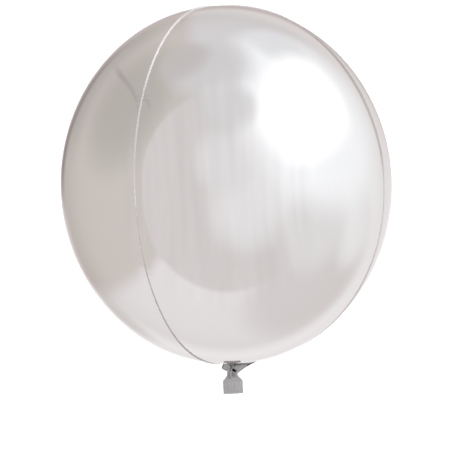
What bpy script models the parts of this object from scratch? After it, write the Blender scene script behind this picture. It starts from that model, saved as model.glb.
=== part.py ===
"""Sphere foil balloon: four foil panels welded edge to edge, and a gathered filling tail.

The balloon lies on its side, as it does when nothing holds it. Its long axis runs along Y,
with the crown at +Y and the tail at -Y. The origin is the middle of the flat spot that it
rests on, under the middle of the body. Turns about the long axis are measured from straight
up, towards +X. Lengths are in metres.
"""

import math

import bmesh
import bpy

OBJECT_NAME = "sphere_foil_balloon"

# Body
BODY_WIDTH = 0.380
BODY_LENGTH = 0.412
PANEL_NAMES = ("panel_upper", "panel_right", "panel_lower", "panel_left")
FIRST_SEAM_TURN = math.radians(-27.9)
REST_SPOT_RADIUS = 0.024

# Welded margins, where two panels lie face to face along a seam
WELD_HEIGHT = 0.0015
WELD_LAYER = 0.0006
SEAM_GAP = 0.0003
WELD_STUB = 0.0002

# Filling tail
NECK_WIDTH = 0.020
WEB_REACH = 0.030
WEB_DRAW_POWERS = (0.5, 0.55, 0.5, 1.0)
PINCH_WIDTH = 0.012
PINCH_DEPTH = 0.008
PINCH_DROP = 0.0205
TAIL_SHIFT = -0.006
SPREAD_LENGTH = 0.0095
TAB_WIDTH = 0.024
TAB_THICKNESS = 0.0016
TAB_LENGTH = 0.015
PLEAT_SHARE = 0.08
PLEATS_PER_PANEL = 2

# Fineness of the faceted surfaces
PANEL_STEPS = 12
POLE_TO_POLE_STEPS = 40
NECK_ARC_POINTS = 6
NECK_STEPS = 7
SEAT_STEP = 0.65
SEAT_MIDDLE = 0.3
FLATTEN_STEPS = 4
SMOOTH_ANGLE = math.radians(35.0)

# Finishes
FOIL_COLOUR = (0.80, 0.79, 0.78, 1.0)
FOIL_ROUGHNESS = 0.12
TAIL_COLOUR = (0.62, 0.62, 0.62, 1.0)
TAIL_ROUGHNESS = 0.25
FOIL_METALLIC = 0.9

# Sizes that follow from the ones above
PANEL_ANGLE = 2.0 * math.pi / len(PANEL_NAMES)
BODY_RADIUS = 0.5 * BODY_WIDTH
HALF_LENGTH = 0.5 * BODY_LENGTH
CENTRE_HEIGHT = math.sqrt(BODY_RADIUS ** 2 - REST_SPOT_RADIUS ** 2)
SEAT_CLEARANCE = WELD_STUB + SEAM_GAP
WELD_HALF = 0.5 * SEAM_GAP + WELD_LAYER
CROWN_JOIN_RADIUS = 2.0 * WELD_HALF
NECK_RADIUS = 0.5 * NECK_WIDTH


def add_collection(name):
    """Add a collection to the scene."""
    collection = bpy.data.collections.new(name)
    bpy.context.scene.collection.children.link(collection)
    return collection


def add_material(name, colour, roughness, metallic):
    """Add a plain Principled material."""
    material = bpy.data.materials.new(name)
    material.use_nodes = True
    shader = material.node_tree.nodes["Principled BSDF"]
    shader.inputs["Base Color"].default_value = colour
    shader.inputs["Roughness"].default_value = roughness
    shader.inputs["Metallic"].default_value = metallic
    return material


def loft(mesh_data, rings):
    """Join rings of points into one closed body, each end closed by a fan from its first point."""
    loops = [[mesh_data.verts.new(point) for point in ring] for ring in rings]
    count = len(loops[0])
    for near, far in zip(loops, loops[1:]):
        for step in range(count):
            after = (step + 1) % count
            mesh_data.faces.new((near[step], near[after], far[after], far[step]))
    for end in (loops[0], loops[-1]):
        for step in range(1, count - 1):
            mesh_data.faces.new((end[0], end[step], end[step + 1]))
    bmesh.ops.recalc_face_normals(mesh_data, faces=mesh_data.faces[:])


def add_object(name, mesh_data, material, collection):
    """Make an object of a finished mesh, shaded smooth except at its real edges."""
    mesh = bpy.data.meshes.new(name)
    mesh_data.to_mesh(mesh)
    mesh_data.free()
    mesh.shade_smooth()
    mesh.set_sharp_from_angle(angle=SMOOTH_ANGLE)
    mesh.materials.append(material)
    made = bpy.data.objects.new(name, mesh)
    collection.objects.link(made)
    return made


def place(distance, turn, along):
    """A point at a distance from the long axis, at a turn about it and a place along it."""
    return (
        distance * math.sin(turn),
        along,
        CENTRE_HEIGHT + distance * math.cos(turn),
    )


def foil_point(polar):
    """Distance from the axis and place along it of the foil, at an angle from the crown."""
    return BODY_RADIUS * math.sin(polar), HALF_LENGTH * math.cos(polar)


def foil_end(distance):
    """Place along the axis of the foil near the tail, at a distance from the axis."""
    return -HALF_LENGTH * math.sqrt(1.0 - (distance / BODY_RADIUS) ** 2)


def weld_point(polar, height):
    """The outer edge of a weld that stands square on the foil."""
    distance, along = foil_point(polar)
    slope_out = math.sin(polar) / BODY_RADIUS
    slope_along = math.cos(polar) / HALF_LENGTH
    length = math.hypot(slope_out, slope_along)
    return distance + height * slope_out / length, along + height * slope_along / length


def side_angle(offset, distance):
    """The turn that an offset from a seam's plane makes at a distance from the axis."""
    return math.asin(offset / distance)


def panel_stations():
    """Angles from the crown to the tail's pole, each with the height of the weld there."""
    first = side_angle(CROWN_JOIN_RADIUS, BODY_RADIUS)
    weld_end = math.pi - side_angle(WEB_REACH + 2.0 * SEAM_GAP, BODY_RADIUS)
    stub_start = math.pi - side_angle(WEB_REACH + SEAM_GAP, BODY_RADIUS)
    last = math.pi - first
    step = (weld_end - first) / POLE_TO_POLE_STEPS
    stations = [(first + step * count, WELD_HEIGHT) for count in range(POLE_TO_POLE_STEPS + 1)]
    middle = 0.5 * (stub_start + last)
    return stations + [(stub_start, WELD_STUB), (middle, WELD_STUB), (last, WELD_STUB)]


def panel_ring(start_turn, polar, height):
    """One section of a panel: its inner edge, a weld, the foil's arc and the other weld."""
    distance, along = foil_point(polar)
    edge_distance, edge_along = weld_point(polar, height)
    inner = side_angle(0.5 * SEAM_GAP, edge_distance)
    outer = side_angle(WELD_HALF, edge_distance)
    root = side_angle(WELD_HALF, distance)
    tip_distance = 0.5 * SEAM_GAP / math.sin(0.5 * PANEL_ANGLE)
    arc = PANEL_ANGLE - 2.0 * root
    points = [
        (tip_distance, 0.5 * PANEL_ANGLE, along),
        (edge_distance, inner, edge_along),
        (edge_distance, outer, edge_along),
    ]
    for step in range(PANEL_STEPS + 1):
        points.append((distance, root + arc * step / PANEL_STEPS, along))
    points.append((edge_distance, PANEL_ANGLE - outer, edge_along))
    points.append((edge_distance, PANEL_ANGLE - inner, edge_along))
    return [place(out, start_turn + turn, where) for out, turn, where in points]


def press_rest_spot(mesh_data):
    """Cut a lying panel off at the floor, so that it has a small flat spot to rest on."""
    everything = mesh_data.verts[:] + mesh_data.edges[:] + mesh_data.faces[:]
    bmesh.ops.bisect_plane(
        mesh_data,
        geom=everything,
        plane_co=(0.0, 0.0, 0.0),
        plane_no=(0.0, 0.0, -1.0),
        clear_outer=True,
    )
    rim = [edge for edge in mesh_data.edges if edge.is_boundary]
    bmesh.ops.edgenet_fill(mesh_data, edges=rim)
    bmesh.ops.recalc_face_normals(mesh_data, faces=mesh_data.faces[:])


def add_panels(collection):
    """Add the foil panels, each from one seam to the next."""
    for order, name in enumerate(PANEL_NAMES):
        start_turn = FIRST_SEAM_TURN + order * PANEL_ANGLE
        mesh_data = bmesh.new()
        loft(mesh_data, [panel_ring(start_turn, *station) for station in panel_stations()])
        if start_turn < math.pi < start_turn + PANEL_ANGLE:
            press_rest_spot(mesh_data)
        material = add_material(name, FOIL_COLOUR, FOIL_ROUGHNESS, FOIL_METALLIC)
        add_object(name, mesh_data, material, collection)


def gathered_section(core_width, core_depth, reaches):
    """A gathered section: between the welded webs of the seams the foil lies in pleats.

    Each point is its offset to the side and its offset upwards from the tail's middle.
    """
    section = []
    for order, reach in enumerate(reaches):
        seam = FIRST_SEAM_TURN + order * PANEL_ANGLE
        root = side_angle(WELD_HALF, 0.5 * min(core_width, core_depth))
        tip = side_angle(WELD_HALF, reach)
        for turn in (-tip, tip):
            section.append((reach * math.sin(seam + turn), reach * math.cos(seam + turn)))
        arc = PANEL_ANGLE - 2.0 * root
        for step in range(NECK_ARC_POINTS + 2):
            share = step / (NECK_ARC_POINTS + 1)
            turn = seam + root + arc * share
            fold = 1.0 - PLEAT_SHARE * math.sin(math.pi * PLEATS_PER_PANEL * share) ** 2
            section.append(
                (
                    0.5 * core_width * fold * math.sin(turn),
                    0.5 * core_depth * fold * math.cos(turn),
                )
            )
    return section


def tab_section():
    """The flat tab's rectangle, with as many points as a gathered section has."""
    count = len(PANEL_NAMES) * (NECK_ARC_POINTS + 4)
    step = 2.0 * math.pi / count
    shift = round(FIRST_SEAM_TURN / step)
    half_width = 0.5 * TAB_WIDTH
    half_thickness = 0.5 * TAB_THICKNESS
    section = []
    for order in range(count):
        turn = step * (order + shift)
        side = math.sin(turn) * half_width / math.cos(step)
        up = math.cos(turn) * half_thickness / math.sin(step)
        section.append(
            (
                max(-half_width, min(half_width, side)),
                max(-half_thickness, min(half_thickness, up)),
            )
        )
    return section


def blend(start, end, share):
    """A value part of the way from one to another."""
    return start + (end - start) * share


def ease(share):
    """A share that starts and ends gently."""
    return share * share * (3.0 - 2.0 * share)


def web_reaches(share):
    """Reach of the webs part of the way from the foil to the pinch, where they are drawn in."""
    return [blend(WEB_REACH, 0.5 * PINCH_WIDTH, share ** power) for power in WEB_DRAW_POWERS]


def seat_ring(scale, drop):
    """A ring of the tail's seat, which follows the foil's curve at a drop from it."""
    ring = []
    for side, up in gathered_section(NECK_WIDTH, NECK_WIDTH, web_reaches(0.0)):
        distance = scale * math.hypot(side, up)
        along = foil_end(distance) - drop
        ring.append(place(distance, math.atan2(side, up), along))
    return ring


def seat_middle():
    """The plain round middle of the tail's seat."""
    count = len(PANEL_NAMES) * (NECK_ARC_POINTS + 4)
    distance = SEAT_MIDDLE * NECK_RADIUS
    along = foil_end(distance) - SEAT_CLEARANCE
    return [
        place(distance, FIRST_SEAM_TURN + 2.0 * math.pi * order / count, along)
        for order in range(count)
    ]


def tail_rings():
    """The tail's rings: the seat, the gathered neck down to the pinch, and the flat tab."""
    rings = [
        seat_middle(),
        seat_ring(SEAT_STEP, SEAT_CLEARANCE),
        seat_ring(1.0, SEAT_CLEARANCE),
        seat_ring(1.0, SEAT_CLEARANCE + WELD_HEIGHT),
    ]
    start = -HALF_LENGTH - SEAT_CLEARANCE
    for count in range(1, NECK_STEPS + 1):
        share = count / NECK_STEPS
        drawn = math.sqrt(share)
        section = gathered_section(
            blend(NECK_WIDTH, PINCH_WIDTH, drawn),
            blend(NECK_WIDTH, PINCH_DEPTH, drawn),
            web_reaches(share),
        )
        shift = TAIL_SHIFT * ease(drawn)
        along = start - blend(WELD_HEIGHT, PINCH_DROP, share)
        rings.append([(side + shift, along, CENTRE_HEIGHT + up) for side, up in section])
    pinch = gathered_section(PINCH_WIDTH, PINCH_DEPTH, web_reaches(1.0))
    tab = tab_section()
    for count in range(1, FLATTEN_STEPS + 1):
        share = count / FLATTEN_STEPS
        along = start - PINCH_DROP - SPREAD_LENGTH * share
        ring = []
        for round_point, flat_point in zip(pinch, tab):
            side = blend(round_point[0], flat_point[0], ease(share)) + TAIL_SHIFT
            up = blend(round_point[1], flat_point[1], ease(share))
            ring.append((side, along, CENTRE_HEIGHT + up))
        rings.append(ring)
    end = start - PINCH_DROP - SPREAD_LENGTH - TAB_LENGTH
    rings.append([(side + TAIL_SHIFT, end, CENTRE_HEIGHT + up) for side, up in tab])
    return rings


def add_filling_tail(collection):
    """Add the gathered neck and the flat filling tab below it."""
    mesh_data = bmesh.new()
    loft(mesh_data, tail_rings())
    material = add_material("filling_tail", TAIL_COLOUR, TAIL_ROUGHNESS, FOIL_METALLIC)
    add_object("filling_tail", mesh_data, material, collection)


def main():
    """Build the balloon in an empty scene."""
    for old in list(bpy.data.objects):
        bpy.data.objects.remove(old, do_unlink=True)
    collection = add_collection(OBJECT_NAME)
    add_panels(collection)
    add_filling_tail(collection)


main()
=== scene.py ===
"""Dresses the solids of a sphere foil balloon with welded mirror foil and a gathered tail.

The balloon lies on a pale floor with its crown at +Y, and the camera looks down on it.
Lengths are in metres. Turns about the long axis are measured from straight up, towards +X.
"""

import math

import bmesh
import bpy
from bpy.props import FloatProperty, FloatVectorProperty, IntProperty, PointerProperty
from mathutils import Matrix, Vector, noise


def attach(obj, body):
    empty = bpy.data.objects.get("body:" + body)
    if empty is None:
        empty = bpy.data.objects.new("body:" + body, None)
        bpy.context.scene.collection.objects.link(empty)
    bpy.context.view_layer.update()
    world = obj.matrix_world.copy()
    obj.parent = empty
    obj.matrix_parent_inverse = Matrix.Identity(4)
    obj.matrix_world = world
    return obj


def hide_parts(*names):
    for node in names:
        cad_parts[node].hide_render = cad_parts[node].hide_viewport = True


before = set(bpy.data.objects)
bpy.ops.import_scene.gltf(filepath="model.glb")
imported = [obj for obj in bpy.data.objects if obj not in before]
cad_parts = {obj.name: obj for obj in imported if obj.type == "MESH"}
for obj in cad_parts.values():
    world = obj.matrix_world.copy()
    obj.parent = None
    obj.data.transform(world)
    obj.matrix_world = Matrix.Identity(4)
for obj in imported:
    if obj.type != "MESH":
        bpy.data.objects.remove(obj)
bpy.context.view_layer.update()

bl_info = {
    "name": "Sphere Foil Balloon",
    "version": (1, 0, 0),
    "blender": (4, 5, 0),
    "location": "3D View > Sidebar > Balloon",
    "description": "Foil panels, seam welds and a gathered tail for a sphere foil balloon",
    "category": "Object",
}

BODY = "root"

# The solids' own sizes
BODY_WIDTH = 0.380
BODY_LENGTH = 0.412
REST_SPOT_RADIUS = 0.024
FIRST_SEAM_TURN = math.radians(-27.9)
PANEL_NODES = ("panel_upper", "panel_right", "panel_lower", "panel_left")
TAIL_NODE = "filling_tail"
SEAM_GAP = 0.0003
NECK_WIDTH = 0.020
PINCH_DROP = 0.0205
SPREAD_LENGTH = 0.0095
TAB_LENGTH = 0.015

PANEL_ANGLE = 2.0 * math.pi / len(PANEL_NODES)
BODY_RADIUS = 0.5 * BODY_WIDTH
HALF_LENGTH = 0.5 * BODY_LENGTH
CENTRE_HEIGHT = math.sqrt(BODY_RADIUS ** 2 - REST_SPOT_RADIUS ** 2)
SEAM_LENGTH = math.pi * 0.5 * (BODY_RADIUS + HALF_LENGTH)

# The web of each seam at the neck: its reach from the long axis, the shares of the way to the
# pinch between which it draws in, and the power of the curve that its free edge follows
NECK_WEBS = (
    (0.0200, 0.00, 0.80, 0.60),
    (0.0340, 0.00, 1.00, 0.55),
    (0.0240, 0.00, 1.00, 0.50),
    (0.0155, 0.55, 0.86, 3.20),
)

# How far each seam's weld bends over, and where on the way from the crown it starts and for how
# long it bends, all as angles
WELD_LEANS = (0.75, 0.9, 0.25, -0.3)
LEAN_START = math.radians(76.0)
LEAN_RUN = math.radians(24.0)

# A weld's columns, the share of its height that is sure and that is uneven, the parts of its
# quick and slow waves, the slow ones' pace and start, and the power by which they grow outwards
WELD_COLUMNS = 7
WELD_TOP = (0.96, 0.08)
WAVE_PARTS = (0.8, 0.7)
SLOW_WAVE_PACE = 0.31
SLOW_WAVE_START = 5.0
WAVE_POWER = 1.3

# How far apart the noise is read beside two seams and on two welds
SEAM_NOISE_STEP = 40.0
WELD_NOISE_STEP = 70.0

# The folds at the poles for each radian, the swell's fineness, and how steeply the whole relief
# fades in from the poles
POLE_FOLD_FINENESS = 9.0
SWELL_FINENESS = 2.2
POLE_FADE = 8.0

# How much a panel's columns crowd towards its seams, and half its width with a little to spare,
# past which a column lies on the long axis
COLUMN_CROWDING = 0.8
FOIL_HALF = 0.501

# Closer points than this become one, and edges sharper than this stay sharp
MERGE_DISTANCE = 0.000002
SHARP_ANGLE = math.radians(50.0)

# Patterns in the finishes: their stretch along the axes, fineness and detail
FOIL_HAZE = ((1.0, 0.5, 1.0), 9.0, 3.0)
FOIL_LINES = ((1.0, 0.10, 1.0), 42.0, 1.0)
FOIL_GRAIN = ((1.0, 0.03, 1.0), 300.0, 2.0)
WELD_GRAIN = ((1.0, 1.0, 1.0), 900.0, 2.0)
TAIL_CREASES = ((1.0, 0.45, 1.0), 420.0, 4.0)
PATTERN_RANGE = (0.3, 0.7)

# Bumps in the finishes: their strength and depth
FOIL_LINES_BUMP = (1.0, 0.00012)
FOIL_GRAIN_BUMP = (1.0, 0.000008)
WELD_GRAIN_BUMP = (0.5, 0.0001)
TAIL_CREASES_BUMP = (0.6, 0.0004)

# The least and the most haze, for the foil as shares of its own, then the welds' and the tail's
FOIL_HAZE_SHARES = (0.8, 1.25)
WELD_ROUGHNESS = 0.2
TAIL_ROUGHNESS = (0.14, 0.34)

# The clear coat on the foil
COAT_WEIGHT = 0.2
COAT_ROUGHNESS = 0.04

# The light tent, patch over patch, each with its glow at the end. Bearings run from +X towards
# the crown and angles from straight up, both in degrees.
#   round: its middle's bearing and angle, and how far from there it is full and where it ends
#   side: its bearing, half its width and that edge's softness, then the angles where it starts
#       and ends, each with its softness
#   softbox: its bearing and angle, half its width and height at a distance of 1, and the shares
#       of them where it is full and where it ends
TENT_BASE = (0.86, 0.83, 0.835)
TENT_PATCHES = (
    ("round", 90.0, 110.0, 22.0, 60.0, (0.76, 0.74, 0.755)),
    ("round", -5.0, 108.0, 22.0, 60.0, (0.97, 0.965, 0.975)),
    ("round", -45.0, 80.0, 24.0, 48.0, (0.74, 0.70, 0.70)),
    ("round", -20.0, 100.0, 4.0, 20.0, (0.91, 0.90, 0.905)),
    ("round", -88.0, 160.0, 28.0, 52.0, (1.08, 1.08, 1.11)),
    ("round", 60.0, 158.0, 8.0, 34.0, (0.93, 0.91, 0.91)),
    ("round", -138.0, 134.0, 3.0, 18.0, (0.82, 0.81, 0.81)),
    ("side", 160.0, 58.0, 5.0, 40.0, 10.0, 152.0, 18.0, (0.675, 0.63, 0.60)),
    ("side", 142.0, 24.0, 10.0, 124.0, 10.0, 150.0, 8.0, (0.59, 0.57, 0.55)),
    ("round", 140.0, 90.0, 4.0, 40.0, (0.54, 0.505, 0.475)),
    ("side", 135.0, 0.8, 0.6, 74.0, 8.0, 122.0, 14.0, (0.46, 0.43, 0.41)),
    ("side", 160.0, 26.0, 12.0, 145.0, 6.0, 161.0, 4.0, (0.37, 0.34, 0.34)),
    ("round", 90.0, 172.0, 12.0, 30.0, (0.68, 0.63, 0.63)),
    ("round", 0.0, 0.0, 57.0, 60.0, (0.725, 0.69, 0.685)),
    ("round", -33.0, 16.0, 7.0, 32.0, (0.865, 0.85, 0.86)),
    ("round", 88.0, 18.0, 4.0, 24.0, (0.83, 0.81, 0.825)),
    ("round", 20.0, 66.0, 20.0, 54.0, (0.98, 0.975, 0.99)),
    ("round", -24.0, 64.0, 6.0, 30.0, (0.82, 0.80, 0.805)),
    ("round", 38.0, 76.0, 30.0, 58.0, (1.05, 1.06, 1.09)),
    ("round", 95.0, 77.0, 8.0, 28.0, (0.715, 0.70, 0.715)),
    ("round", 108.0, 88.0, 3.0, 18.0, (0.62, 0.58, 0.58)),
    ("round", 62.0, 104.0, 3.0, 18.0, (0.86, 0.87, 0.90)),
    ("softbox", 39.0, 75.0, 0.466, 0.74, 0.55, 1.25, (1.35, 1.35, 1.35)),
    ("round", 84.0, 49.0, 6.0, 20.0, (0.75, 0.735, 0.75)),
)

# How square the softbox is, from 2 for an oval upwards
SOFTBOX_POWER = 2.5

# The tent's cloth hangs in folds: how many there are to each unit across and along, how much
# they change the glow, and the height of the tent between which they fade in
DRAPE_FINENESS = (14.0, 0.9)
DRAPE_DEPTH = 0.10
DRAPE_RISE = (0.15, 0.55)

# The camera's nearest and farthest distance, and the rounds' corners and rows
CAMERA_CLIP = (0.01, 50.0)
FLOOR_CORNERS = 96
TENT_CORNERS = 64
TENT_ROWS = 32

# The floor's finish and light, and the backdrop's glow, with what it gains where it is seen
FLOOR_ROUGHNESS = 0.7
FLOOR_LIGHT_STRENGTH = 3.6
FLOOR_LIGHT_SPREAD = math.radians(25.0)
FLOOR_LIGHT_HEIGHT = 2.0
BACKDROP_GLOW = 0.35
BACKDROP_GAIN = 0.55


def length_setting(name, description, default):
    """A setting for a length."""
    return FloatProperty(name=name, description=description, default=default, unit="LENGTH")


def colour_setting(name, description, default):
    """A setting for a colour."""
    return FloatVectorProperty(
        name=name, description=description, default=(*default, 1.0), size=4, subtype="COLOR"
    )


def count_setting(name, description, default, least):
    """A setting for a whole number."""
    return IntProperty(name=name, description=description, default=default, min=least)


class FoilSettings(bpy.types.PropertyGroup):
    """The foil panels' finish and relief."""

    colour: colour_setting("Colour", "Colour of the bright foil", (0.87, 0.865, 0.86))
    rim_colour: colour_setting(
        "Rim Colour", "Tint of the bright foil where it turns away from the eye", (0.78, 0.74, 0.72)
    )
    roughness: FloatProperty(
        name="Roughness",
        description="Haze of the bright foil",
        default=0.08,
        min=0.0,
        max=1.0,
    )
    valley_depth: length_setting("Valley Depth", "How far a seam pulls the foil in", 0.0003)
    valley_width: length_setting(
        "Valley Width", "How far from a seam the foil starts to sink", 0.007
    )
    pucker_depth: length_setting(
        "Pucker Depth", "Height of the small puckers beside a seam", 0.00012
    )
    pucker_reach: length_setting(
        "Pucker Reach", "How far from a seam the puckers fade out", 0.007
    )
    pucker_pitch: length_setting("Pucker Pitch", "Distance from one pucker to the next", 0.0065)
    pole_fold_depth: length_setting(
        "Pole Fold Depth", "Height of the folds that gather at the crown and at the neck", 0.0004
    )
    pole_fold_reach: length_setting(
        "Pole Fold Reach", "How far from the poles the folds fade out", 0.024
    )
    swell_depth: length_setting(
        "Swell Depth", "Height of the broad unevenness of the foil", 0.0003
    )
    across_steps: count_setting("Steps Across", "Faces from seam to seam", 72, 8)
    along_steps: count_setting("Steps Along", "Faces from the crown to the neck", 480, 16)


class WeldSettings(bpy.types.PropertyGroup):
    """The welded margins that stand out along the seams."""

    height: length_setting("Height", "How far the margin stands out of the foil", 0.0012)
    thickness: length_setting("Thickness", "Thickness of the two layers of film", 0.00026)
    root: length_setting("Root", "How deep the margin reaches below the foil", 0.0012)
    wave_depth: length_setting("Wave Depth", "Sideways waves of the margin's free edge", 0.0002)
    wave_pitch: length_setting("Wave Pitch", "Distance from one wave to the next", 0.0022)
    steps: count_setting("Steps", "Faces along a margin", 1240, 16)


class TailSettings(bpy.types.PropertyGroup):
    """The gathered neck and the flat end of the tail."""

    # The creased foil's grey is darker than the panels' film, and partly stands in for painted
    # shade of the gathered neck.
    colour: colour_setting("Colour", "Colour of the creased foil", (0.50, 0.505, 0.51))
    # Painted shade: the colour that the tail's foil is mixed towards in its folds, creases, pocket
    # and slit, at the webs' edges and in the ball's shadow on the neck.
    painted_shade_colour: colour_setting("Fold Colour", "Colour deep in the folds", (0.05, 0.05, 0.055))
    pinch_width: length_setting(
        "Pinch Width", "Width of the neck where it is pinched", 0.0122
    )
    pinch_depth: length_setting(
        "Pinch Depth", "Depth of the neck where it is pinched", 0.0078
    )
    side_shift: length_setting("Side Shift", "How far the tail leans to the side", -0.006)
    pleats: count_setting("Pleats", "Pleats in the foil from one seam to the next", 3, 1)
    crumple_depth: length_setting(
        "Crumple Depth", "Height of the creases in the gathered foil", 0.0006
    )
    tab_width: length_setting("Tab Width", "Width of the flat end", 0.024)
    tab_thickness: length_setting(
        "Tab Thickness", "Thickness of the flat end in its middle", 0.0011
    )
    margin_width: length_setting(
        "Margin Width", "Width of the welded margins along the flat end", 0.003
    )


class StageSettings(bpy.types.PropertyGroup):
    """The camera, the floor and the light."""

    camera_distance: length_setting(
        "Camera Distance", "From the lens to the middle of the balloon", 0.9257
    )
    lens: FloatProperty(
        name="Lens",
        description="Focal length on a 36 mm sensor",
        default=62.95,
        unit="CAMERA",
    )
    camera_lead: FloatProperty(
        name="Camera Lead",
        description="How far the camera stands towards the crown from straight above",
        subtype="ANGLE",
        default=math.radians(4.464),
    )
    camera_turn: FloatVectorProperty(
        name="Camera Turn",
        description="The camera's turn from looking straight down",
        subtype="EULER",
        default=(math.radians(-7.215), math.radians(-0.175), math.radians(-3.376)),
    )
    floor_colour: colour_setting("Floor Colour", "Colour of the floor", (0.82, 0.82, 0.82))
    floor_radius: length_setting("Floor Radius", "Radius of the floor", 8.0)
    tent_radius: length_setting(
        "Tent Radius", "Radius of the light tent round the balloon", 20.0
    )


class Field:
    """A number in a geometry tree, which the script can add and multiply like any other."""

    def __init__(self, tree, socket):
        self.tree = tree
        self.socket = socket

    def math(self, operation, *others):
        """Add a Math node whose first input is this number."""
        node = self.tree.nodes.new("ShaderNodeMath")
        node.operation = operation
        for slot, value in zip(node.inputs, (self, *others)):
            plug(self.tree, value, slot)
        return Field(self.tree, node.outputs[0])

    def __add__(self, other):
        return self.math("ADD", other)

    def __sub__(self, other):
        return self.math("SUBTRACT", other)

    def __mul__(self, other):
        return self.math("MULTIPLY", other)

    def __truediv__(self, other):
        return self.math("DIVIDE", other)


def plug(tree, value, socket):
    """Link a field or a socket to a node's input, or set the input to a plain value."""
    if isinstance(value, Field):
        tree.links.new(value.socket, socket)
    elif isinstance(value, bpy.types.NodeSocket):
        tree.links.new(value, socket)
    else:
        socket.default_value = value


def new_geometry_tree(name, numbers, counts):
    """Make a geometry tree that takes numbers, counts and a material, and return it with a
    field for each of them."""
    tree = bpy.data.node_groups.new(name, "GeometryNodeTree")
    tree.interface.new_socket("Geometry", in_out="OUTPUT", socket_type="NodeSocketGeometry")
    for labels, kind in ((numbers, "Float"), (counts, "Int"), (("Material",), "Material")):
        for label in labels:
            tree.interface.new_socket(label, in_out="INPUT", socket_type="NodeSocket" + kind)
    entry = tree.nodes.new("NodeGroupInput")
    fields = {socket.name: Field(tree, socket) for socket in entry.outputs if socket.name}
    return tree, fields


def noise_field(tree, where, scale, detail):
    """Smooth noise between -1 and 1 at a place, which is a number or a point."""
    node = tree.nodes.new("ShaderNodeTexNoise")
    if isinstance(where, Field):
        node.noise_dimensions = "1D"
        plug(tree, where, node.inputs["W"])
    else:
        plug(tree, where, node.inputs["Vector"])
    node.inputs["Scale"].default_value = scale
    node.inputs["Detail"].default_value = detail
    return Field(tree, node.outputs[0]) * 2.0 - 1.0


def point_field(tree, right, along, up):
    """A point of three numbers."""
    node = tree.nodes.new("ShaderNodeCombineXYZ")
    for value, slot in zip((right, along, up), node.inputs):
        plug(tree, value, slot)
    return node.outputs[0]


def finish_tree(tree, geometry, material):
    """End a tree with real geometry that carries its material."""
    realize = tree.nodes.new("GeometryNodeRealizeInstances")
    tree.links.new(geometry, realize.inputs[0])
    finish = tree.nodes.new("GeometryNodeSetMaterial")
    tree.links.new(realize.outputs[0], finish.inputs["Geometry"])
    plug(tree, material, finish.inputs["Material"])
    exit_node = tree.nodes.new("NodeGroupOutput")
    tree.links.new(finish.outputs[0], exit_node.inputs[0])


def grid_shares(tree):
    """The grid's own two shares, each from 0 to 1."""
    position = tree.nodes.new("GeometryNodeInputPosition")
    parts = tree.nodes.new("ShaderNodeSeparateXYZ")
    tree.links.new(position.outputs[0], parts.inputs[0])
    return Field(tree, parts.outputs[0]) + 0.5, Field(tree, parts.outputs[1]) + 0.5


def place_grid(tree, columns, rows, place):
    """Move a grid's points to their places, and join the ones that meet."""
    grid = tree.nodes.new("GeometryNodeMeshGrid")
    plug(tree, columns, grid.inputs["Vertices X"])
    plug(tree, rows, grid.inputs["Vertices Y"])
    move = tree.nodes.new("GeometryNodeSetPosition")
    tree.links.new(grid.outputs["Mesh"], move.inputs["Geometry"])
    tree.links.new(place, move.inputs["Position"])
    join = tree.nodes.new("GeometryNodeMergeByDistance")
    tree.links.new(move.outputs[0], join.inputs["Geometry"])
    join.inputs["Distance"].default_value = MERGE_DISTANCE
    return join.outputs[0]


def foil_slopes(sine, cosine):
    """The direction straight out of the foil: its shares away from the axis and along it."""
    slope_out = sine / BODY_RADIUS
    slope_along = cosine / HALF_LENGTH
    slope = (slope_out * slope_out + slope_along * slope_along).math("SQRT")
    return slope_out / slope, slope_along / slope


def fade(distance, reach):
    """A field that is 1 at no distance and fades to nothing past a reach."""
    return ((distance / reach).math("POWER", 2.0) * -1.0).math("EXPONENT")


def foil_relief(tree, given, turn, sine, cosine, from_seam, seam_side):
    """Height of the foil's relief: seam valleys, puckers, folds at the poles and a broad swell."""
    round_distance = sine * BODY_RADIUS
    row_place = cosine.math("ARCCOSINE") * (SEAM_LENGTH / math.pi)
    valley = fade(from_seam, given["Valley Width"]) * given["Valley Depth"] * -1.0
    run = row_place / given["Pucker Pitch"]
    run = run + (given["Start Turn"] + seam_side) * SEAM_NOISE_STEP
    puckers = noise_field(tree, run, 1.0, 1.0) * given["Pucker Depth"]
    puckers = puckers * fade(from_seam, given["Pucker Reach"])
    folds = noise_field(tree, turn * POLE_FOLD_FINENESS, 1.0, 2.0) * given["Pole Fold Depth"]
    folds = folds * fade(round_distance, given["Pole Fold Reach"])
    folds = folds * (round_distance / (0.5 * NECK_WIDTH)).math("MINIMUM", 1.0)
    ball = point_field(tree, sine * turn.math("SINE"), cosine, sine * turn.math("COSINE"))
    swell = noise_field(tree, ball, SWELL_FINENESS, 0.0) * given["Swell Depth"]
    clear_of_pole = (sine * POLE_FADE).math("MINIMUM", 1.0)
    return (valley + puckers + folds + swell) * clear_of_pole


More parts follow.
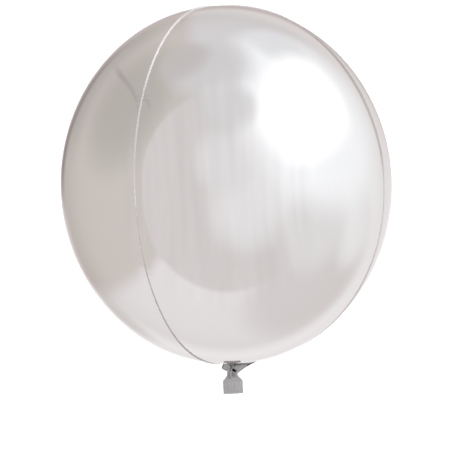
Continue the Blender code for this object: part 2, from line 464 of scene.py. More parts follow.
def foil_panel_tree():
    """Geometry tree of one panel: a closed segment of the balloon with a relief on its foil."""
    numbers = ("Start Turn", "Valley Depth", "Valley Width", "Pucker Depth", "Pucker Reach")
    numbers = numbers + ("Pucker Pitch", "Pole Fold Depth", "Pole Fold Reach", "Swell Depth")
    tree, given = new_geometry_tree("Foil Panel", numbers, ("Steps Across", "Steps Along"))

    # One more column at each side lies on the long axis and closes the segment.
    column_share, row_share = grid_shares(tree)
    steps = given["Steps Across"]
    wide = (column_share * (steps + 2.0) - 1.0) / steps
    on_foil = (wide - 0.5).math("ABSOLUTE").math("LESS_THAN", FOIL_HALF)
    across = wide.math("MAXIMUM", 0.0).math("MINIMUM", 1.0)
    # The columns crowd towards the seams, where the relief is finest.
    full_turn = 2.0 * math.pi
    crowding = (across * full_turn).math("SINE") * (COLUMN_CROWDING / full_turn)
    crowded = across - crowding
    turn = given["Start Turn"] + crowded * PANEL_ANGLE
    polar = row_share * math.pi
    sine = polar.math("SINE")
    cosine = polar.math("COSINE")
    edge_share = crowded.math("MINIMUM", crowded * -1.0 + 1.0)
    from_seam = edge_share * PANEL_ANGLE * sine * BODY_RADIUS
    seam_side = (crowded - 0.5).math("SIGN") * (0.5 * PANEL_ANGLE)

    relief = foil_relief(tree, given, turn, sine, cosine, from_seam, seam_side)
    out_share, along_share = foil_slopes(sine, cosine)
    distance = (sine * BODY_RADIUS + relief * out_share) * on_foil
    along = cosine * HALF_LENGTH + relief * along_share * on_foil
    middle = given["Start Turn"] + 0.5 * PANEL_ANGLE
    clear = 0.5 * SEAM_GAP / math.sin(0.5 * PANEL_ANGLE)
    right = distance * turn.math("SINE") + middle.math("SINE") * clear
    up = distance * turn.math("COSINE") + middle.math("COSINE") * clear + CENTRE_HEIGHT
    place = point_field(tree, right, along, up.math("MAXIMUM", 0.0))
    panel = place_grid(tree, steps + 3.0, given["Steps Along"] + 1.0, place)
    finish_tree(tree, panel, given["Material"])
    return tree


def seam_weld_tree():
    """Geometry tree of one welded margin: a thin sheet that stands on the foil along a seam."""
    numbers = ("Seam Turn", "Last Polar", "Lean", "Root", "Height", "Wave Depth", "Wave Pitch")
    tree, given = new_geometry_tree("Seam Weld", numbers, ("Steps",))

    up_share, row_share = grid_shares(tree)
    polar = row_share * given["Last Polar"]
    sine = polar.math("SINE")
    cosine = polar.math("COSINE")
    run = polar * (SEAM_LENGTH / math.pi) / given["Wave Pitch"]
    run = run + given["Seam Turn"] * WELD_NOISE_STEP
    uneven = noise_field(tree, run * SLOW_WAVE_PACE + SLOW_WAVE_START, 1.0, 1.0)
    top = given["Height"] * (uneven * WELD_TOP[1] + WELD_TOP[0])
    height = up_share * (top + given["Root"]) - given["Root"]
    free = (height / given["Height"]).math("MAXIMUM", 0.0).math("POWER", WAVE_POWER)
    wave = noise_field(tree, run, 1.0, 1.0) * WAVE_PARTS[0] + uneven * WAVE_PARTS[1]
    bent = ((polar - LEAN_START) / LEAN_RUN).math("MAXIMUM", 0.0).math("MINIMUM", 1.0)
    lean = given["Lean"] * bent * bent * (bent * -2.0 + 3.0)
    stand = height.math("MAXIMUM", 0.0)
    aside = wave * given["Wave Depth"] * free + stand * lean.math("SINE")
    rise = height.math("MINIMUM", 0.0) + stand * lean.math("COSINE")
    out_share, along_share = foil_slopes(sine, cosine)
    distance = sine * BODY_RADIUS + rise * out_share
    along = cosine * HALF_LENGTH + rise * along_share
    turn_sine = given["Seam Turn"].math("SINE")
    turn_cosine = given["Seam Turn"].math("COSINE")
    right = distance * turn_sine + aside * turn_cosine
    up = distance * turn_cosine - aside * turn_sine + CENTRE_HEIGHT
    place = point_field(tree, right, along, up)
    weld = place_grid(tree, WELD_COLUMNS, given["Steps"] + 1.0, place)
    finish_tree(tree, weld, given["Material"])
    return tree


def named_values(settings):
    """The settings' values by their names, which a tree's inputs share."""
    names = settings.bl_rna.properties
    return {names[key].name: getattr(settings, key) for key in settings.__annotations__}


def grow(name, tree, values, thickness=0.0):
    """Grow an object from a geometry tree, as a plain mesh with no modifier left on it."""
    grown = bpy.data.objects.new(name, bpy.data.meshes.new(name))
    bpy.context.scene.collection.objects.link(grown)
    modifier = grown.modifiers.new(name, "NODES")
    modifier.node_group = tree
    sockets = [item for item in tree.interface.items_tree if item.in_out == "INPUT"]
    for socket in sockets:
        modifier[socket.identifier] = values[socket.name]
    if thickness:
        shell = grown.modifiers.new("Thickness", "SOLIDIFY")
        shell.thickness = thickness
        shell.offset = 0.0
    graph = bpy.context.evaluated_depsgraph_get()
    mesh = bpy.data.meshes.new_from_object(grown.evaluated_get(graph))
    grown.modifiers.clear()
    grown.data = mesh
    if not mesh.polygons:
        raise RuntimeError("The tree of " + name + " grew nothing")
    face_outwards(mesh)
    return grown


def face_outwards(mesh):
    """Turn every face of a closed mesh outwards, and shade it smooth except at real edges."""
    mesh_data = bmesh.new()
    mesh_data.from_mesh(mesh)
    bmesh.ops.recalc_face_normals(mesh_data, faces=mesh_data.faces[:])
    mesh_data.to_mesh(mesh)
    mesh_data.free()
    mesh.shade_smooth()
    mesh.set_sharp_from_angle(angle=SHARP_ANGLE)


def keep_as_piece(piece, slot, *nodes):
    """Make an object a piece of the balloon, in the place of the solids it stands for."""
    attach(piece, BODY)
    if nodes:
        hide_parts(*nodes)


def new_material(name, colour, metallic, roughness):
    """Make a Principled material, and return it with its tree and shader."""
    material = bpy.data.materials.new(name)
    material.use_nodes = True
    tree = material.node_tree
    shader = tree.nodes["Principled BSDF"]
    shader.inputs["Base Color"].default_value = colour
    shader.inputs["Metallic"].default_value = metallic
    shader.inputs["Roughness"].default_value = roughness
    return material, tree, shader


def stretched_noise(tree, stretch, scale, detail):
    """Noise over the object's own coordinates, drawn out along the axes with a small stretch."""
    coordinates = tree.nodes.new("ShaderNodeTexCoord")
    mapping = tree.nodes.new("ShaderNodeMapping")
    mapping.inputs["Scale"].default_value = stretch
    tree.links.new(coordinates.outputs["Object"], mapping.inputs["Vector"])
    texture = tree.nodes.new("ShaderNodeTexNoise")
    texture.inputs["Scale"].default_value = scale
    texture.inputs["Detail"].default_value = detail
    tree.links.new(mapping.outputs[0], texture.inputs["Vector"])
    return texture.outputs["Fac"]


def ranged(tree, value, low, high):
    """A texture's value brought into a range."""
    node = tree.nodes.new("ShaderNodeMapRange")
    node.inputs["From Min"].default_value = PATTERN_RANGE[0]
    node.inputs["From Max"].default_value = PATTERN_RANGE[1]
    node.inputs["To Min"].default_value = low
    node.inputs["To Max"].default_value = high
    tree.links.new(value, node.inputs["Value"])
    return node.outputs[0]


def add_bump(tree, shader, height, strength, depth):
    """Add a bump of a real depth on top of the bump that the shader has."""
    bump = tree.nodes.new("ShaderNodeBump")
    bump.inputs["Strength"].default_value = strength
    bump.inputs["Distance"].default_value = depth
    tree.links.new(height, bump.inputs["Height"])
    normal = shader.inputs["Normal"]
    if normal.is_linked:
        tree.links.new(normal.links[0].from_socket, bump.inputs["Normal"])
    tree.links.new(bump.outputs[0], normal)


def mirror_foil_material():
    """Bright metal-coated film, pulled tight: lines drawn along its length and a slight haze."""
    settings = bpy.context.scene.balloon_foil
    material, tree, shader = new_material("Mirror Foil", settings.colour, 1.0, settings.roughness)
    shader.inputs["Specular Tint"].default_value = settings.rim_colour
    haze = stretched_noise(tree, *FOIL_HAZE)
    least, most = [settings.roughness * share for share in FOIL_HAZE_SHARES]
    tree.links.new(ranged(tree, haze, least, most), shader.inputs["Roughness"])
    add_bump(tree, shader, stretched_noise(tree, *FOIL_LINES), *FOIL_LINES_BUMP)
    add_bump(tree, shader, stretched_noise(tree, *FOIL_GRAIN), *FOIL_GRAIN_BUMP)
    shader.inputs["Coat Weight"].default_value = COAT_WEIGHT
    shader.inputs["Coat Roughness"].default_value = COAT_ROUGHNESS
    return material


def weld_foil_material():
    """The welded margin: the same film, pressed flat with a fine cross grain."""
    settings = bpy.context.scene.balloon_foil
    material, tree, shader = new_material("Weld Foil", settings.colour, 1.0, WELD_ROUGHNESS)
    add_bump(tree, shader, stretched_noise(tree, *WELD_GRAIN), *WELD_GRAIN_BUMP)
    return material


def creased_foil_material():
    """The tail's film: gathered, creased and duller, with painted shade deep in its folds."""
    settings = bpy.context.scene.balloon_tail
    least, most = TAIL_ROUGHNESS
    material, tree, shader = new_material("Creased Foil", settings.colour, 1.0, least)
    # The fold attribute holds painted shade, by which the base colour is mixed towards the painted
    # shade colour.
    fold = tree.nodes.new("ShaderNodeAttribute")
    fold.attribute_name = "fold"
    shade = tree.nodes.new("ShaderNodeMix")
    shade.data_type = "RGBA"
    shade.inputs["A"].default_value = settings.colour
    shade.inputs["B"].default_value = settings.painted_shade_colour
    tree.links.new(fold.outputs["Fac"], shade.inputs["Factor"])
    tree.links.new(shade.outputs["Result"], shader.inputs["Base Color"])
    creases = stretched_noise(tree, *TAIL_CREASES)
    tree.links.new(ranged(tree, creases, least, most), shader.inputs["Roughness"])
    add_bump(tree, shader, creases, *TAIL_CREASES_BUMP)
    return material


class FOILBALLOON_OT_panels(bpy.types.Operator):
    """Make the foil panels in the place of their solids"""

    bl_idname = "foilballoon.panels"
    bl_label = "Foil Panels"

    def execute(self, context):
        settings = context.scene.balloon_foil
        tree = foil_panel_tree()
        material = mirror_foil_material()
        for order, node in enumerate(PANEL_NODES):
            values = named_values(settings)
            values["Start Turn"] = FIRST_SEAM_TURN + order * PANEL_ANGLE
            values["Material"] = material
            piece = grow("foil_" + node, tree, values)
            keep_as_piece(piece, "foil", node)
        return {"FINISHED"}


class FOILBALLOON_OT_welds(bpy.types.Operator):
    """Make the welded margins that stand out along the seams"""

    bl_idname = "foilballoon.welds"
    bl_label = "Seam Welds"

    def execute(self, context):
        settings = context.scene.balloon_weld
        tree = seam_weld_tree()
        material = weld_foil_material()
        for order, node in enumerate(PANEL_NODES):
            web_reach = NECK_WEBS[order][0]
            values = named_values(settings)
            values["Seam Turn"] = FIRST_SEAM_TURN + order * PANEL_ANGLE
            values["Last Polar"] = math.pi - math.asin(web_reach / BODY_RADIUS)
            values["Lean"] = WELD_LEANS[order]
            values["Material"] = material
            before = PANEL_NODES[order - 1].replace("panel", "weld")
            name = before + node.replace("panel", "")
            keep_as_piece(grow(name, tree, values, settings.thickness), "foil")
        return {"FINISHED"}


def blend(start, end, share):
    """A value part of the way from one to another."""
    return start + (end - start) * share


def ease(share):
    """A share that starts and ends gently, kept between 0 and 1."""
    share = min(1.0, max(0.0, share))
    return share * share * (3.0 - 2.0 * share)


def bell(offset):
    """A soft hump that is 1 at no offset and fades out past an offset of 1."""
    return math.exp(-offset * offset)


def foil_end(distance):
    """Place along the long axis of the foil near the tail, at a distance from the axis."""
    return -HALF_LENGTH * math.sqrt(1.0 - (distance / BODY_RADIUS) ** 2)


class TailShape:
    """The tail's sections, from its seat on the foil down to its open end."""

    # Steps out along a web and round from one web to the next, and the rings of each part
    WEB_STEPS = 8
    ARC_STEPS = 24
    NECK_RINGS = 44
    SPREAD_RINGS = 18
    TAB_RINGS = 26
    MOUTH_RINGS = 4
    NECK_RING_POWER = 1.4

    # The seat: its drop from the foil, its rings' sizes, how far from the long axis it follows
    # the foil, and how soon the neck leaves the foil's curve
    SEAT_DROP = 0.0004
    SEAT_SIZES = (0.3, 0.65, 1.0)
    SEAT_REACH = 0.035
    SEAT_LEAVE = 6.0

    # Webs: half the width of a root, the least distances of root and edge as shares of the
    # neck's own, half the thickness at root and edge, and how soon it is thin
    WEB_ROOT = 0.0012
    WEB_CORE = (0.92, 1.06)
    WEB_HALF_LAYER = (0.0011, 0.00022)
    WEB_THINNING = 1.6

    # How far the webs sway, how fine and how soon, and how far apart the noise is read on two
    WEB_SWAY = 0.0011
    WEB_SWAY_PACE = 5.0
    WEB_NOISE_STEP = 3.7
    WEB_NOISE_PLACE = 0.4

    # The webs' painted shade: where the painted dark line at the edge starts and how soon on the
    # neck, and its strength there and in the ball's painted shadow
    WEB_EDGE = 0.78
    WEB_EDGE_PACE = 6.0
    WEB_EDGE_PAINTED_SHADE = 0.9
    WEB_PAINTED_BALL_SHADOW = 0.5

    # Pleats: how far they wander, how fine round and along and where in the noise, their step
    # aside, the power of their curve, their depth at both ends of the neck and the sure part
    PLEAT_WANDER = 0.35
    PLEAT_NOISE = (2.0, 2.5, 7.0)
    PLEAT_ASIDE = 0.18
    PLEAT_POWER = 1.6
    PLEAT_DEPTH = (0.04, 0.34)
    PLEAT_SURE = 0.7

    # The ball's painted shadow on the neck: share of the way to the pinch, and half its length
    SHADE = (0.30, 0.08)

    # The pocket that the foil folds in beside the pinch: turn, half its width in radians, and
    # share of the way to the pinch with half its length. It bends at a turn, and runs down on
    # both sides of it.
    POCKET = (0.35, 0.95, 0.62, 0.055)
    POCKET_BEND = (-0.35, 0.14)
    POCKET_DEPTH = 0.62

    # Painted shade in the pocket and in the pleats, and the ball's painted shadow between the webs
    POCKET_PAINTED_SHADE = 1.9
    PLEAT_PAINTED_SHADE = 0.9
    BALL_PAINTED_SHADOW = 0.7

    # Creases: their part of the whole, whether they are sharp, their fineness across and along,
    # and their place in the noise to the side and upwards
    CREASES = (
        (0.5, False, 190.0, 150.0, 0.0, 3.0),
        (0.4, True, 330.0, 230.0, 0.0, 0.0),
        (0.2, True, 760.0, 560.0, 9.0, 0.0),
    )
    CREASE_SHARPNESS = 2.4
    # The strength of the painted shade in the creases' valleys
    CREASE_PAINTED_SHADE = 1.1
    CREASE_PACE = 4.0
    SPREAD_CREASES = 0.9
    LEAST_DISTANCE = 0.002

    # The flat end: the angle past which its edge is round, the step up to its margins, half the
    # thickness of welded film, and the ribs in it
    EDGE_START = math.radians(82.0)
    MARGIN_STEP = 0.0008
    WELD_HALF = 0.00026
    RIB_DEPTH = 0.00007
    RIB_PITCH = 0.0008

    # Its long creases: depth, fineness across and along and place in the noise, and their loss
    # towards the end
    TAB_CREASE_DEPTH = 0.00034
    TAB_CREASE_NOISE = (420.0, 1.2, 2.0)
    TAB_CREASE_LOSS = 0.5

    # The weld across its end: where it starts and ends, their softness, and its strength
    END_WELD = (0.80, 0.93, 0.04)
    END_WELD_STRENGTH = 0.75

    # Its curl: height, waves across, start and pace, and the height and pace of its twist
    CURL = (0.0005, 190.0, 1.0, 1.5)
    TWIST = (0.0004, 3.0)

    # The slit in its end: depth, width, and opening and painted shade from the outside in
    MOUTH_DEPTH = 0.003
    MOUTH_WIDTH = 0.90
    MOUTH_OPENING = (0.45, 0.05)
    MOUTH_PAINTED_SHADE = (0.5, 1.0)

    def __init__(self, settings, weld_height):
        self.settings = settings
        self.rim = self.SEAT_DROP + weld_height
        self.stations = self.section_stations()

    def section_stations(self):
        """Each point of a section: its seam, its share out along the web, its side or its turn."""
        stations = []
        for seam in range(len(NECK_WEBS)):
            for step in range(self.WEB_STEPS):
                stations.append((seam, (step + 1) / self.WEB_STEPS, -1.0))
            for step in reversed(range(self.WEB_STEPS)):
                stations.append((seam, (step + 1) / self.WEB_STEPS, 1.0))
            for step in range(self.ARC_STEPS):
                stations.append((seam, 0.0, (step + 0.5) / self.ARC_STEPS))
        return stations

    def web_reach(self, seam, share):
        """Reach of a seam's web at a share of the way to the pinch."""
        reach, start, end, power = NECK_WEBS[seam]
        drawn = min(1.0, max(0.0, (share - start) / (end - start)))
        return blend(reach, 0.5 * self.settings.pinch_width, drawn ** power)

    def shade(self, share):
        """The ball's painted shadow on the neck at a share of the way to the pinch."""
        middle, half_length = self.SHADE
        return bell((share - middle) / half_length)

    def neck_point(self, station, share):
        """Offset to the side, offset upwards and painted shade of a point of the gathered neck."""
        drawn = math.sqrt(share)
        half_width = 0.5 * blend(NECK_WIDTH, self.settings.pinch_width, drawn)
        half_depth = 0.5 * blend(NECK_WIDTH, self.settings.pinch_depth, drawn)
        seam, out, side = station
        if out > 0.0:
            return self.web_point(station, share, half_width, half_depth)
        return self.pleat_point(seam, side, share, half_width, half_depth)

    def web_point(self, station, share, half_width, half_depth):
        """A point of the neck on a web, part of the way out to the web's free edge."""
        seam, out, side = station
        seam_turn = FIRST_SEAM_TURN + seam * PANEL_ANGLE
        core = math.hypot(half_width * math.sin(seam_turn), half_depth * math.cos(seam_turn))
        root_share, edge_share = self.WEB_CORE
        edge_distance = max(self.web_reach(seam, share), core * edge_share)
        distance = blend(core * root_share, edge_distance, out)
        half_layer = blend(*self.WEB_HALF_LAYER, min(1.0, out * self.WEB_THINNING))
        paced = share * self.WEB_SWAY_PACE
        place = (paced, seam * self.WEB_NOISE_STEP, self.WEB_NOISE_PLACE)
        sway = self.WEB_SWAY * out * noise.noise(place) * ease(paced)
        aside = side * half_layer + sway
        right = distance * math.sin(seam_turn) + aside * math.cos(seam_turn)
        up = distance * math.cos(seam_turn) - aside * math.sin(seam_turn)
        # Painted shade: a dark line along the web's free edge stands in for its dark reflection,
        # and the ball's painted shadow lies across the web.
        at_edge = ease((out - self.WEB_EDGE) / (1.0 - self.WEB_EDGE))
        painted_shade = self.WEB_EDGE_PAINTED_SHADE * at_edge * ease(share * self.WEB_EDGE_PACE)
        return right, up, min(1.0, painted_shade + self.WEB_PAINTED_BALL_SHADOW * self.shade(share))

    def pleat_point(self, seam, side, share, half_width, half_depth):
        """A point of the neck between two webs, with its pleats and the pocket in them, and their
        painted shade.
        """
        root = self.WEB_ROOT / half_depth
        seam_turn = FIRST_SEAM_TURN + seam * PANEL_ANGLE
        turn = seam_turn + root + (PANEL_ANGLE - 2.0 * root) * side
        round_pace, along_pace, place = self.PLEAT_NOISE
        wander = noise.noise((turn * round_pace, share * along_pace, place))
        wander = self.PLEAT_WANDER * wander
        pleat_turn = 2.0 * math.pi * self.settings.pleats * (side + self.PLEAT_ASIDE * wander)
        wave = 0.5 - 0.5 * math.cos(pleat_turn)
        depth = blend(*self.PLEAT_DEPTH, math.sqrt(share))
        fold = wave ** self.PLEAT_POWER * depth * (self.PLEAT_SURE + wander)
        pocket_turn, pocket_width, pocket_share, pocket_length = self.POCKET
        bend_turn, bend_slope = self.POCKET_BEND
        run_down = abs(turn - bend_turn) * bend_slope
        hollow = bell((turn - pocket_turn) / pocket_width)
        hollow = hollow * bell((share - pocket_share - run_down) / pocket_length)
        scale = 1.0 - fold - self.POCKET_DEPTH * hollow
        # Painted shade: dark in the pocket and the pleats' valleys, with the ball's painted shadow
        # on top.
        painted_shade = self.POCKET_PAINTED_SHADE * hollow + self.PLEAT_PAINTED_SHADE * fold
        painted_shade = min(1.0, painted_shade + self.BALL_PAINTED_SHADOW * self.shade(share))
        return half_width * scale * math.sin(turn), half_depth * scale * math.cos(turn), painted_shade

    def crumple(self, right, along, up):
        """Depth of the creases at a place, between -1 and 1."""
        depth = 0.0
        for part, sharp, across, lengthwise, right_place, up_place in self.CREASES:
            place = (right * across + right_place, along * lengthwise, up * across + up_place)
            value = noise.noise(place)
            if sharp:
                value = 1.0 - self.CREASE_SHARPNESS * abs(value)
            depth = depth + part * value
        return depth

    def creased(self, right, along, up, depth):
        """A point moved out of or into the tail by its creases, and the painted shade in their
        valleys.
        """
        out = math.hypot(right, up)
        crease = self.crumple(right, along, up)
        factor = 1.0 + depth * crease / max(out, self.LEAST_DISTANCE)
        # Painted shade in the creases' valleys, growing with their depth.
        painted_shade = min(1.0, max(0.0, -self.CREASE_PAINTED_SHADE * crease))
        return right * factor, up * factor, painted_shade * depth / self.settings.crumple_depth

    def tab_half(self, right, share):
        """Half the thickness of the flat end, with its creases, margins, ribs and end weld."""
        settings = self.settings
        inward = abs(right) - 0.5 * settings.tab_width + settings.margin_width
        margin = ease(inward / self.MARGIN_STEP)
        rib = self.RIB_DEPTH * math.sin(2.0 * math.pi * share * TAB_LENGTH / self.RIB_PITCH)
        across, lengthwise, place = self.TAB_CREASE_NOISE
        crease = noise.noise((right * across, share * lengthwise, place))
        crease = self.TAB_CREASE_DEPTH * crease * (1.0 - self.TAB_CREASE_LOSS * share)
        start, end, soft = self.END_WELD
        end_weld = ease((share - start) / soft) * (1.0 - ease((share - end) / soft))
        welded = max(margin, self.END_WELD_STRENGTH * end_weld)
        return blend(0.5 * settings.tab_thickness + crease, self.WELD_HALF + rib, welded)

    def tab_point(self, order, share):
        """Offset to the side, half thickness and curl of a point of the flat end, where share
        runs from its start to its end."""
        quarter = 0.5 * math.pi
        count = len(self.stations)
        angle = FIRST_SEAM_TURN + 2.0 * math.pi * (order - self.WEB_STEPS) / count
        angle = (angle + math.pi) % (2.0 * math.pi) - math.pi
        upper = abs(angle) < quarter
        from_top = abs(angle) if upper else math.pi - abs(angle)
        half_width = 0.5 * self.settings.tab_width
        right = math.copysign(half_width * min(1.0, from_top / self.EDGE_START), angle)
        half = self.tab_half(right, share)
        half = half * (1.0 - ease((from_top - self.EDGE_START) / (quarter - self.EDGE_START)))
        height, waves, start, pace = self.CURL
        curl = height * math.sin(right * waves + start) * ease(share * pace)
        height, pace = self.TWIST
        curl = curl + height * math.sin(share * pace) * right / half_width
        return right, half if upper else -half, curl

    def rings(self):
        """Every ring of the tail, each a list of points with their painted shade."""
        seat = [self.neck_point(station, 0.0) for station in self.stations]
        rings = [self.seat_ring(seat, size, self.SEAT_DROP) for size in self.SEAT_SIZES]
        rings.append(self.seat_ring(seat, 1.0, self.rim))
        for count in range(1, self.NECK_RINGS + 1):
            rings.append(self.neck_ring((count / self.NECK_RINGS) ** self.NECK_RING_POWER))
        pinch = [self.neck_point(station, 1.0) for station in self.stations]
        pinch_along = -HALF_LENGTH - self.SEAT_DROP - PINCH_DROP
        for count in range(1, self.SPREAD_RINGS + 1):
            share = count / self.SPREAD_RINGS
            rings.append(self.spread_ring(pinch, share, pinch_along - SPREAD_LENGTH * share))
        tab_along = pinch_along - SPREAD_LENGTH
        for count in range(1, self.TAB_RINGS + 1):
            share = count / self.TAB_RINGS
            rings.append(self.flat_ring(share, tab_along - TAB_LENGTH * share))
        for count in range(self.MOUTH_RINGS):
            share = count / (self.MOUTH_RINGS - 1)
            rings.append(self.mouth_ring(tab_along - TAB_LENGTH, share))
        return rings

    def seat_ring(self, seat, scale, drop):
        """A ring of the tail's seat, which follows the foil at a drop from it."""
        ring = []
        for right, up, painted_shade in seat:
            distance = scale * math.hypot(right, up)
            along = foil_end(distance) - drop
            ring.append((right * scale, along, CENTRE_HEIGHT + up * scale, painted_shade))
        return ring

    def neck_ring(self, share):
        """A ring of the gathered neck, which leaves the foil's curve on the way to the pinch."""
        start = -HALF_LENGTH
        flow = 1.0 - ease(share * self.SEAT_LEAVE)
        depth = self.settings.crumple_depth * ease(share * self.CREASE_PACE)
        drop = start - self.SEAT_DROP - blend(self.rim, PINCH_DROP, share)
        ring = []
        for station in self.stations:
            right, up, painted_shade = self.neck_point(station, share)
            distance = min(math.hypot(right, up), self.SEAT_REACH)
            along = drop + flow * (foil_end(distance) - start)
            right, up, deep = self.creased(right, along, up, depth)
            right = right + self.settings.side_shift * ease(share)
            # The painted shade of the point, or that of its creases where it is darker.
            ring.append((right, along, CENTRE_HEIGHT + up, max(painted_shade, deep)))
        return ring

    def spread_ring(self, pinch, share, along):
        """A ring between the pinch and the flat end, where the pleats open out."""
        ring = []
        eased = ease(share)
        depth = self.settings.crumple_depth * (1.0 - eased) * self.SPREAD_CREASES
        for order, (right, up, painted_shade) in enumerate(pinch):
            flat_right, flat_half, curl = self.tab_point(order, 0.0)
            right = blend(right, flat_right, eased)
            up = blend(up, flat_half + curl, eased)
            right, up, deep = self.creased(right, along, up, depth)
            right = right + self.settings.side_shift
            # The painted shade of the pinch fades out as the pleats open, and the creases' painted
            # shade stays.
            ring.append((right, along, CENTRE_HEIGHT + up, max(painted_shade * (1.0 - eased), deep)))
        return ring

    def flat_ring(self, share, along, width=1.0, opening=1.0, painted_shade=0.0):
        """A ring of the flat end, or of its mouth, which is narrower and opens less."""
        ring = []
        for order in range(len(self.stations)):
            right, half, curl = self.tab_point(order, share)
            right = right * width + self.settings.side_shift
            ring.append((right, along, CENTRE_HEIGHT + curl + half * opening, painted_shade))
        return ring

    def mouth_ring(self, end, share):
        """A ring of the slit that opens the flat end, at a share of its depth."""
        along = end + self.MOUTH_DEPTH * share
        opening = blend(*self.MOUTH_OPENING, share)
        # The slit is painted darker from the outside in, as painted shade inside it.
        return self.flat_ring(1.0, along, self.MOUTH_WIDTH, opening, blend(*self.MOUTH_PAINTED_SHADE, share))


def loft_rings(name, rings):
    """Join rings into one closed mesh, with the points' painted shade kept as an attribute."""
    mesh_data = bmesh.new()
    # The fold attribute holds the painted shade of each point.
    layer = mesh_data.verts.layers.float.new("fold")
    loops = []
    for ring in rings:
        loop = []
        for right, along, up, painted_shade in ring:
            vert = mesh_data.verts.new((right, along, up))
            vert[layer] = painted_shade
            loop.append(vert)
        loops.append(loop)
    count = len(loops[0])
    for near, far in zip(loops, loops[1:]):
        for step in range(count):
            after = (step + 1) % count
            mesh_data.faces.new((near[step], near[after], far[after], far[step]))
    for loop in (loops[0], loops[-1]):
        middle = mesh_data.verts.new(sum((vert.co for vert in loop), Vector()) / count)
        middle[layer] = loop[0][layer]
        for step in range(count):
            mesh_data.faces.new((loop[step], loop[(step + 1) % count], middle))
    mesh = bpy.data.meshes.new(name)
    mesh_data.to_mesh(mesh)
    mesh_data.free()
    face_outwards(mesh)
    return mesh


class FOILBALLOON_OT_tail(bpy.types.Operator):
    """Make the gathered neck and the flat end of the tail in the place of their solid"""

    bl_idname = "foilballoon.tail"
    bl_label = "Filling Tail"

    def execute(self, context):
        shape = TailShape(context.scene.balloon_tail, context.scene.balloon_weld.height)
        mesh = loft_rings("foil_filling_tail", shape.rings())
        mesh.materials.append(creased_foil_material())
        piece = bpy.data.objects.new("foil_filling_tail", mesh)
        context.scene.collection.objects.link(piece)
        keep_as_piece(piece, "tail_foil", TAIL_NODE)
        return {"FINISHED"}


def add_camera(settings):
    """Look down on the balloon from the photograph's viewing angle."""
    data = bpy.data.cameras.new("camera")
    data.lens = settings.lens
    data.clip_start, data.clip_end = CAMERA_CLIP
    camera = bpy.data.objects.new("camera", data)
    ahead = settings.camera_distance * math.sin(settings.camera_lead)
    height = settings.camera_distance * math.cos(settings.camera_lead)
    camera.location = (0.0, ahead, CENTRE_HEIGHT + height)
    camera.rotation_euler = settings.camera_turn
    bpy.context.scene.collection.objects.link(camera)
    bpy.context.scene.camera = camera


def stage_object(name, mesh_data, material):
    """Add an object that is no part of the balloon."""
    mesh = bpy.data.meshes.new(name)
    mesh_data.to_mesh(mesh)
    mesh_data.free()
    mesh.materials.append(material)
    made = bpy.data.objects.new(name, mesh)
    bpy.context.scene.collection.objects.link(made)
    return made


def add_floor(settings):
    """Lay a plain pale floor."""
    mesh_data = bmesh.new()
    radius = settings.floor_radius
    bmesh.ops.create_circle(mesh_data, cap_ends=True, segments=FLOOR_CORNERS, radius=radius)
    material = new_material("Pale Floor", settings.floor_colour, 0.0, FLOOR_ROUGHNESS)[0]
    floor = stage_object("floor", mesh_data, material)
    floor.visible_glossy = False


def heading(bearing, angle):
    """The direction at a bearing from +X towards the crown and at an angle from straight up."""
    level = math.sin(angle)
    return Vector((math.cos(bearing) * level, math.sin(bearing) * level, math.cos(angle)))


def soft_step(value, start, end):
    """A field that rises softly from 0 to 1 on the way from one value to another."""
    share = ((value - start) / (end - start)).math("MAXIMUM", 0.0).math("MINIMUM", 1.0)
    return share * share * (share * -2.0 + 3.0)


class TentLight:
    """The light tent's glow, as fields of the direction from the balloon."""

    def __init__(self, tree):
        self.tree = tree
        coordinates = tree.nodes.new("ShaderNodeTexCoord")
        outward = tree.nodes.new("ShaderNodeVectorMath")
        outward.operation = "NORMALIZE"
        tree.links.new(coordinates.outputs["Object"], outward.inputs[0])
        self.outward = outward.outputs[0]

    def towards(self, direction):
        """How far the tent's direction points along another."""
        node = self.tree.nodes.new("ShaderNodeVectorMath")
        node.operation = "DOT_PRODUCT"
        self.tree.links.new(self.outward, node.inputs[0])
        node.inputs[1].default_value = direction
        return Field(self.tree, node.outputs["Value"])

    def round(self, bearing, angle, full, end):
        """How much of a round patch shows in the tent's direction."""
        return soft_step(self.towards(heading(bearing, angle)), math.cos(end), math.cos(full))

    def side(self, bearing, half, side_soft, near, near_soft, far, far_soft):
        """How much of a side between two bearings shows."""
        rise = self.towards((0.0, 0.0, 1.0))
        level = (rise * rise * -1.0 + 1.0).math("SQRT")
        across = self.towards(heading(bearing, 0.5 * math.pi)) / level
        shown = soft_step(across, math.cos(half + side_soft), math.cos(half - side_soft))
        angle = rise.math("ARCCOSINE")
        shown = shown * soft_step(angle, near - near_soft, near + near_soft)
        return shown * soft_step(angle, far + far_soft, far - far_soft)

    def softbox(self, bearing, angle, half_width, half_height, full, end):
        """How much of a soft-edged softbox shows."""
        facing = heading(bearing, angle)
        across = heading(bearing + 0.5 * math.pi, 0.5 * math.pi)
        depth = self.towards(facing)
        wide = self.towards(across) / depth / half_width
        high = self.towards(facing.cross(across)) / depth / half_height
        wide = wide.math("ABSOLUTE").math("POWER", SOFTBOX_POWER)
        high = high.math("ABSOLUTE").math("POWER", SOFTBOX_POWER)
        shown = soft_step((wide + high).math("POWER", 1.0 / SOFTBOX_POWER), end, full)
        return shown * depth.math("GREATER_THAN", 0.0)

    def drape(self):
        """How much the folds of the tent's cloth change the glow."""
        across, along = DRAPE_FINENESS
        rise = self.towards((0.0, 0.0, 1.0))
        right = self.towards((1.0, 0.0, 0.0)) * across
        forward = self.towards((0.0, 1.0, 0.0)) * along
        place = point_field(self.tree, right, forward, rise * along)
        folds = noise_field(self.tree, place, 1.0, 2.0)
        return folds * soft_step(rise, *DRAPE_RISE) * DRAPE_DEPTH + 1.0


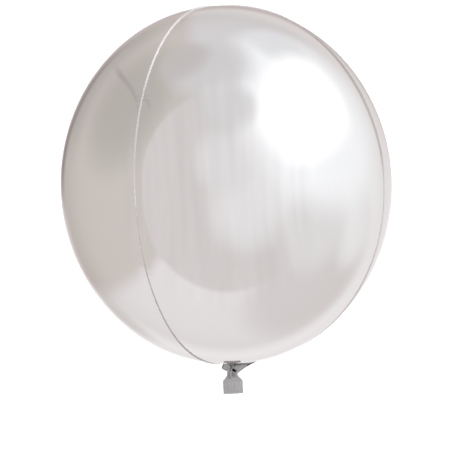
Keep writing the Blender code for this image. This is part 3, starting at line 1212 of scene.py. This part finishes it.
def light_tent_material():
    """A pale tent that glows softly, brighter and darker in broad patches."""
    material = bpy.data.materials.new("Light Tent")
    material.use_nodes = True
    tree = material.node_tree
    tree.nodes.clear()
    light = TentLight(tree)
    # Each shape with how many of its numbers are angles
    shapes = {"round": (light.round, 4), "side": (light.side, 7), "softbox": (light.softbox, 2)}
    glow = (*TENT_BASE, 1.0)
    for kind, *numbers, colour in TENT_PATCHES:
        shape, angles = shapes[kind]
        numbers = [math.radians(number) for number in numbers[:angles]] + numbers[angles:]
        mix = tree.nodes.new("ShaderNodeMix")
        mix.data_type = "RGBA"
        plug(tree, shape(*numbers), mix.inputs["Factor"])
        plug(tree, glow, mix.inputs["A"])
        mix.inputs["B"].default_value = (*colour, 1.0)
        glow = mix.outputs["Result"]
    emission = tree.nodes.new("ShaderNodeEmission")
    tree.links.new(glow, emission.inputs["Color"])
    plug(tree, light.drape(), emission.inputs["Strength"])
    end = tree.nodes.new("ShaderNodeOutputMaterial")
    tree.links.new(emission.outputs[0], end.inputs["Surface"])
    return material


def add_light_tent(settings):
    """Put up a round light tent, which only the foil's reflections see."""
    mesh_data = bmesh.new()
    corners = {"u_segments": TENT_CORNERS, "v_segments": TENT_ROWS}
    bmesh.ops.create_uvsphere(mesh_data, radius=settings.tent_radius, **corners)
    tent = stage_object("light_tent", mesh_data, light_tent_material())
    tent.visible_camera = False
    tent.visible_diffuse = False
    tent.visible_shadow = False


def add_floor_light():
    """Light the floor softly from straight above."""
    data = bpy.data.lights.new("floor_light", "SUN")
    data.energy = FLOOR_LIGHT_STRENGTH
    data.angle = FLOOR_LIGHT_SPREAD
    light = bpy.data.objects.new("floor_light", data)
    light.location = (0.0, 0.0, FLOOR_LIGHT_HEIGHT)
    light.visible_glossy = False
    bpy.context.scene.collection.objects.link(light)


def set_backdrop():
    """A plain pale backdrop."""
    world = bpy.data.worlds.new("backdrop")
    world.use_nodes = True
    backdrop = world.node_tree.nodes["Background"]
    backdrop.inputs["Color"].default_value = (1.0, 1.0, 1.0, 1.0)
    path = world.node_tree.nodes.new("ShaderNodeLightPath")
    seen = Field(world.node_tree, path.outputs["Is Camera Ray"])
    glow = seen * BACKDROP_GAIN + BACKDROP_GLOW
    plug(world.node_tree, glow, backdrop.inputs["Strength"])
    bpy.context.scene.world = world
    bpy.context.scene.view_settings.view_transform = "Standard"


class FOILBALLOON_OT_stage(bpy.types.Operator):
    """Set the camera, the floor and the light"""

    bl_idname = "foilballoon.stage"
    bl_label = "Stage"

    def execute(self, context):
        settings = context.scene.balloon_stage
        add_camera(settings)
        add_floor(settings)
        add_light_tent(settings)
        add_floor_light()
        set_backdrop()
        return {"FINISHED"}


class FOILBALLOON_PT_sidebar(bpy.types.Panel):
    """Lists the balloon's pieces in the sidebar"""

    bl_label = "Sphere Foil Balloon"
    bl_space_type = "VIEW_3D"
    bl_region_type = "UI"
    bl_category = "Balloon"

    def draw(self, context):
        for operator, name, _ in STEPS:
            box = self.layout.box()
            box.operator(operator.bl_idname)
            settings = getattr(context.scene, name)
            for label in settings.__annotations__:
                box.prop(settings, label)


STEPS = (
    (FOILBALLOON_OT_stage, "balloon_stage", StageSettings),
    (FOILBALLOON_OT_panels, "balloon_foil", FoilSettings),
    (FOILBALLOON_OT_welds, "balloon_weld", WeldSettings),
    (FOILBALLOON_OT_tail, "balloon_tail", TailSettings),
)


def register():
    """Register the settings, the operators and the panel."""
    for operator, name, group in STEPS:
        bpy.utils.register_class(group)
        setattr(bpy.types.Scene, name, PointerProperty(type=group))
        bpy.utils.register_class(operator)
    bpy.utils.register_class(FOILBALLOON_PT_sidebar)


def unregister():
    """Take the settings, the operators and the panel away again."""
    bpy.utils.unregister_class(FOILBALLOON_PT_sidebar)
    for operator, name, group in reversed(STEPS):
        bpy.utils.unregister_class(operator)
        delattr(bpy.types.Scene, name)
        bpy.utils.unregister_class(group)


def main():
    """Make the stage and every piece."""
    register()
    bpy.ops.foilballoon.stage()
    bpy.ops.foilballoon.panels()
    bpy.ops.foilballoon.welds()
    bpy.ops.foilballoon.tail()


if __name__ == "__main__":
    main()
